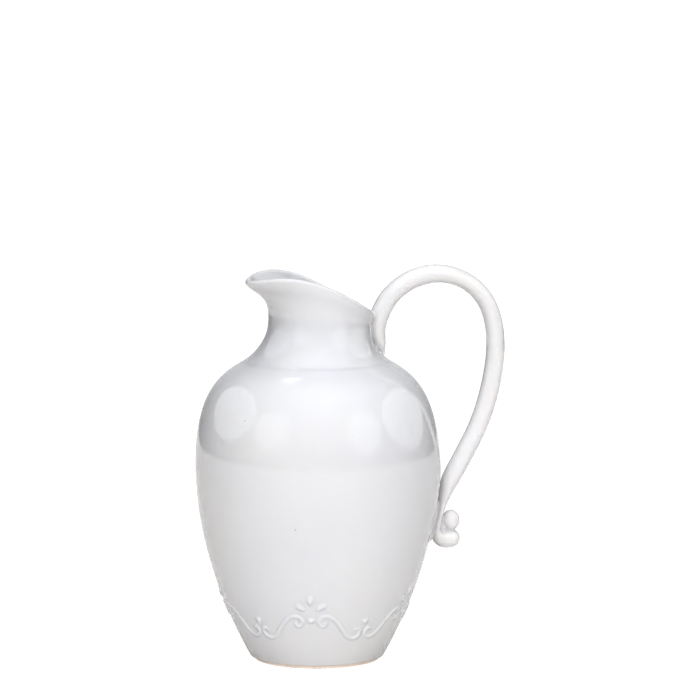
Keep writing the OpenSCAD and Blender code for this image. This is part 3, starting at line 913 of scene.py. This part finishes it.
make_belly()
make_foot()
make_neck()
make_handle()
make_root_slip()
make_tail_pad()
make_curl()
make_bud()
make_garland()


# ---- stage, lights and camera ----

BACKDROP = 1.1  # brightness at which floor and backdrop are seen
FLOOR_WHITE = 0.85  # share of that white in the floor as it is seen


def make_floor():
    mesh = bpy.data.meshes.new("floor")
    reach, corners = 1.7, 128
    turns = [2 * math.pi * i / corners for i in range(corners)]
    rim = [(reach * math.cos(t), reach * math.sin(t), 0) for t in turns]
    mesh.from_pydata(rim, [], [tuple(range(corners))])
    floor = bpy.data.objects.new("floor", mesh)
    bpy.context.scene.collection.objects.link(floor)
    material = bpy.data.materials.new("floor_paper")
    material.use_nodes = True
    tree = material.node_tree
    shader = tree.nodes["Principled BSDF"]
    shader.inputs["Roughness"].default_value = 0.8
    shader.inputs["Specular IOR Level"].default_value = 0.2
    shader.inputs["Emission Color"].default_value = (1, 0.96, 0.91, 1)
    shader.inputs["Emission Strength"].default_value = 0.16
    fibre = node(tree, "ShaderNodeTexNoise", Scale=30.0, Detail=4.0, Roughness=0.6)
    tone = node(tree, "ShaderNodeValToRGB")
    tone.color_ramp.elements[0].color = (0.66, 0.645, 0.63, 1)
    tone.color_ramp.elements[1].color = (0.70, 0.685, 0.67, 1)
    tree.links.new(node(tree, "ShaderNodeTexCoord").outputs["Object"], fibre.inputs["Vector"])
    tree.links.new(fibre.outputs["Fac"], tone.inputs["Fac"])
    tree.links.new(tone.outputs["Color"], shader.inputs["Base Color"])
    # The sheet is seen as bright as the backdrop, with only a trace of its shadows.
    white = node(tree, "ShaderNodeEmission", Strength=BACKDROP)
    seen = node(tree, "ShaderNodeLightPath")
    share = node(tree, "ShaderNodeMath", operation="MULTIPLY")
    share.inputs[1].default_value = FLOOR_WHITE
    mix = node(tree, "ShaderNodeMixShader")
    tree.links.new(seen.outputs["Is Camera Ray"], share.inputs[0])
    tree.links.new(share.outputs["Value"], mix.inputs[0])
    tree.links.new(shader.outputs[0], mix.inputs[1])
    tree.links.new(white.outputs[0], mix.inputs[2])
    tree.links.new(mix.outputs[0], tree.nodes["Material Output"].inputs["Surface"])
    mesh.materials.append(material)


VIEW_AZIMUTH = -14.0  # of the camera, from the front
LIGHTS_AIM = Vector((0, 0, 0.17))


def from_camera(azimuth, elevation):
    """Direction towards a light; the azimuth counts from the camera, to the right."""
    a, e = math.radians(VIEW_AZIMUTH + azimuth), math.radians(elevation)
    return Vector((math.sin(a) * math.cos(e), -math.cos(a) * math.cos(e), math.sin(e)))


def add_light(name, light, back, distance):
    """Light aimed at the belly from that direction, out of the camera's sight."""
    holder = bpy.data.objects.new(name, light)
    bpy.context.scene.collection.objects.link(holder)
    holder.location = LIGHTS_AIM + distance * back
    holder.rotation_euler = back.to_track_quat("Z", "Y").to_euler()
    holder.visible_camera = False
    return holder


def broad_light(name, azimuth, elevation, spread, energy):
    """Very broad light that shades the form; the panels below stand in for its mirror image."""
    light = bpy.data.lights.new(name, "SUN")
    light.energy, light.angle = energy, math.radians(spread)
    light.color = (0.99, 0.99, 1)
    add_light(name, light, from_camera(azimuth, elevation), 3).visible_glossy = False


def panel(name, azimuth, elevation, distance, width, height, radiance):
    """Oval panel that only shows as a pale reflection in the glaze."""
    light = bpy.data.lights.new(name, "AREA")
    light.shape = "ELLIPSE"
    light.size, light.size_y = width, height
    area = math.pi / 4 * width * height
    light.energy = radiance * math.pi * area
    add_light(name, light, from_camera(azimuth, elevation), distance).visible_diffuse = False


# Soft glows of the room: azimuth from the camera, elevation, sharpness, strength.
GLOWS = ((0, 30, 3, 0.25), (-60, 25, 5, 0.08), (60, 25, 5, 0.16), (0, 80, 5, 0.7),
         (180, 10, 14, 0.6))
ROOM_TONE = 0.28  # of the room between the glows


def make_room():
    """Room as a sum of soft glows; the backdrop itself is seen as plain white."""
    world = bpy.data.worlds.new("studio")
    world.use_nodes = True
    tree = world.node_tree
    link = tree.links.new
    place = node(tree, "ShaderNodeTexCoord").outputs["Generated"]
    total = None
    for azimuth, elevation, sharpness, strength in GLOWS:
        facing = node(tree, "ShaderNodeVectorMath", operation="DOT_PRODUCT")
        facing.inputs[1].default_value = from_camera(azimuth, elevation)
        fall = node(tree, "ShaderNodeMath", operation="MULTIPLY_ADD")
        fall.inputs[1].default_value, fall.inputs[2].default_value = sharpness, -sharpness
        glow = node(tree, "ShaderNodeMath", operation="EXPONENT")
        share = node(tree, "ShaderNodeMath", operation="MULTIPLY_ADD")
        share.inputs[1].default_value, share.inputs[2].default_value = strength, ROOM_TONE
        link(place, facing.inputs[0])
        link(facing.outputs["Value"], fall.inputs[0])
        link(fall.outputs["Value"], glow.inputs[0])
        link(glow.outputs["Value"], share.inputs[0])
        if total is not None:
            link(total, share.inputs[2])
        total = share.outputs["Value"]
    sky = tree.nodes["Background"]
    sky.inputs["Color"].default_value = (0.97, 0.985, 1, 1)
    link(total, sky.inputs["Strength"])
    white = node(tree, "ShaderNodeBackground", Strength=BACKDROP)
    white.inputs["Color"].default_value = (1, 1, 1, 1)
    seen = node(tree, "ShaderNodeLightPath")
    mix = node(tree, "ShaderNodeMixShader")
    link(seen.outputs["Is Camera Ray"], mix.inputs[0])
    link(sky.outputs[0], mix.inputs[1])
    link(white.outputs[0], mix.inputs[2])
    link(mix.outputs[0], tree.nodes["World Output"].inputs["Surface"])
    bpy.context.scene.world = world


# Azimuth from the camera, elevation, spread in degrees, energy.
BROAD_LIGHTS = {"key": (2, 23, 46, 1.93), "top": (20, 82, 40, 0.75), "back": (180, 50, 60, 0.4)}
# Azimuth from the camera, elevation, distance, width, height, brightness.
PANELS = {
    "side_left": (-101, 24, 1.6, 1.9, 1.25, 0.8), "side_right": (103, 20, 1.6, 1.9, 1.25, 0.8),
    "front_left": (-46, 20, 1.8, 1.15, 1.15, 0.75),
    "front_right": (47.5, 19, 1.8, 1.15, 1.15, 0.75),
    "window": (-143, 70, 1.6, 0.42, 0.28, 1.4),
}


def make_light():
    for name, settings in BROAD_LIGHTS.items():
        broad_light(name, *settings)
    for name, settings in PANELS.items():
        panel(name, *settings)


def make_camera():
    data = bpy.data.cameras.new("camera")
    data.lens, data.sensor_width = 246.7, 36.0
    data.clip_start, data.clip_end = 0.1, 100
    camera = bpy.data.objects.new("camera", data)
    bpy.context.scene.collection.objects.link(camera)
    a, distance, height = math.radians(VIEW_AZIMUTH), 3.6, 0.72
    camera.location = (distance * math.sin(a), -distance * math.cos(a), height)
    target = Vector((0.026, 0, 0.23514))
    camera.rotation_euler = (camera.location - target).to_track_quat("Z", "Y").to_euler()
    bpy.context.scene.camera = camera


make_floor()
make_light()
make_room()
make_camera()
# Greys are a little deeper than in the plain transform, as in a developed product shot.
bpy.context.scene.view_settings.view_transform = "Standard"
bpy.context.scene.view_settings.gamma = 0.66
